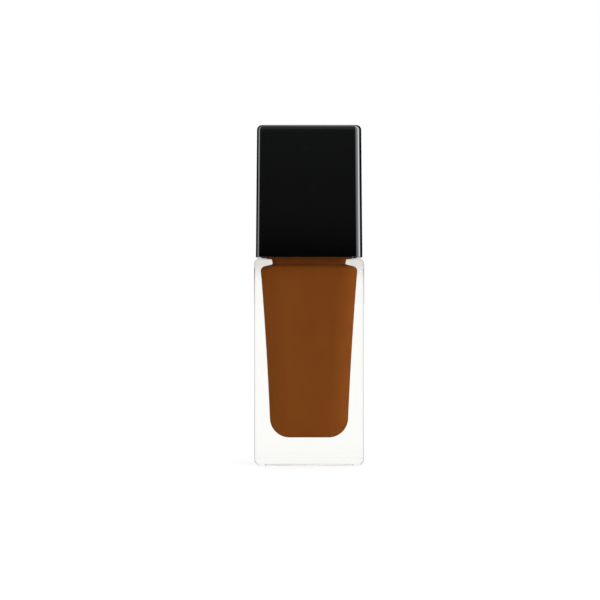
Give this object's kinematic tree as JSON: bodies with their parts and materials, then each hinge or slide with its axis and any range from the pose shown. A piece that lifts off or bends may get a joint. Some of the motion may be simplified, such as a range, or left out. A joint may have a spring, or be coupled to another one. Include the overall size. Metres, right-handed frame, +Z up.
{
  "type": "foundation bottle",
  "caption": "Square thick-walled glass foundation bottle with a screw-on dosing pump and a glossy black pull-off overcap.",
  "frame": {"origin": "middle of the base, on the surface that the bottle stands on", "axes": "+X to the right across the broad front, -Y towards the viewer of the front and along the spout, +Z up"},
  "size_m": [0.0352, 0.0298, 0.1092],
  "materials": {
    "clear_glass": "polished flint glass",
    "foundation_liquid": "opaque liquid make-up",
    "label_film": "bare printed-film label, matt",
    "white_seal": "soft polyethylene",
    "natural_moulding": "natural polypropylene",
    "black_moulding": "moulded black, fine spark texture",
    "black_gloss": "high-gloss black",
    "black_anodised": "bright black anodised",
    "steel": "bright stainless"
  },
  "bodies": {
    "bottle": {"glass_bottle": "clear_glass", "foundation_fill": "foundation_liquid", "base_label": "label_film"},
    "pump_core": {"pump_housing": "natural_moulding", "pump_retainer": "natural_moulding", "stem_wiper": "white_seal", "neck_gasket": "white_seal", "dip_tube": "natural_moulding", "return_spring": "steel"},
    "collar": {"screw_collar": "black_moulding", "collar_sleeve": "black_anodised"},
    "plunger": {"pump_stem": "natural_moulding", "piston_poppet": "natural_moulding"},
    "piston": {"piston": "white_seal"},
    "actuator": {"actuator_shell": "black_gloss", "actuator_core": "black_moulding", "nozzle_insert": "black_moulding"},
    "inlet_ball": {"check_ball": "steel"},
    "overcap": {"overcap_shell": "black_gloss", "overcap_liner": "black_moulding"}
  },
  "joints": [
    {"name": "pump_lift", "type": "slide", "parent": "bottle", "child": "pump_core", "axis": [0, 0, 1], "range_m": [0, 0.072]},
    {"name": "collar_turn", "type": "hinge", "parent": "pump_core", "child": "collar", "pos_m": [0, 0, 0.075], "axis": [0, 0, 1], "range_deg": [0, 8101]},
    {"name": "cap_lift", "type": "slide", "parent": "pump_core", "child": "overcap", "axis": [0, 0, 1], "range_m": [0, 0.045]},
    {"name": "plunger_press", "type": "slide", "parent": "pump_core", "child": "plunger", "axis": [0, 0, -1], "range_m": [0, 0.0045], "stiffness_N_per_m": 1500, "springref_m": -0.004, "deforming": ["return_spring"]},
    {"name": "piston_slip", "type": "slide", "parent": "plunger", "child": "piston", "axis": [0, 0, 1], "range_m": [0, 0.0007]},
    {"name": "actuator_turn", "type": "hinge", "parent": "plunger", "child": "actuator", "pos_m": [0, 0, 0.095], "axis": [0, 0, 1], "continuous": true},
    {"name": "ball_lift", "type": "slide", "parent": "pump_core", "child": "inlet_ball", "axis": [0, 0, 1], "range_m": [0, 0.0008]}
  ],
  "couplings": [
    {"joint": "collar_turn", "follows": "pump_lift", "rad_per_m": 1963.5}
  ]
}
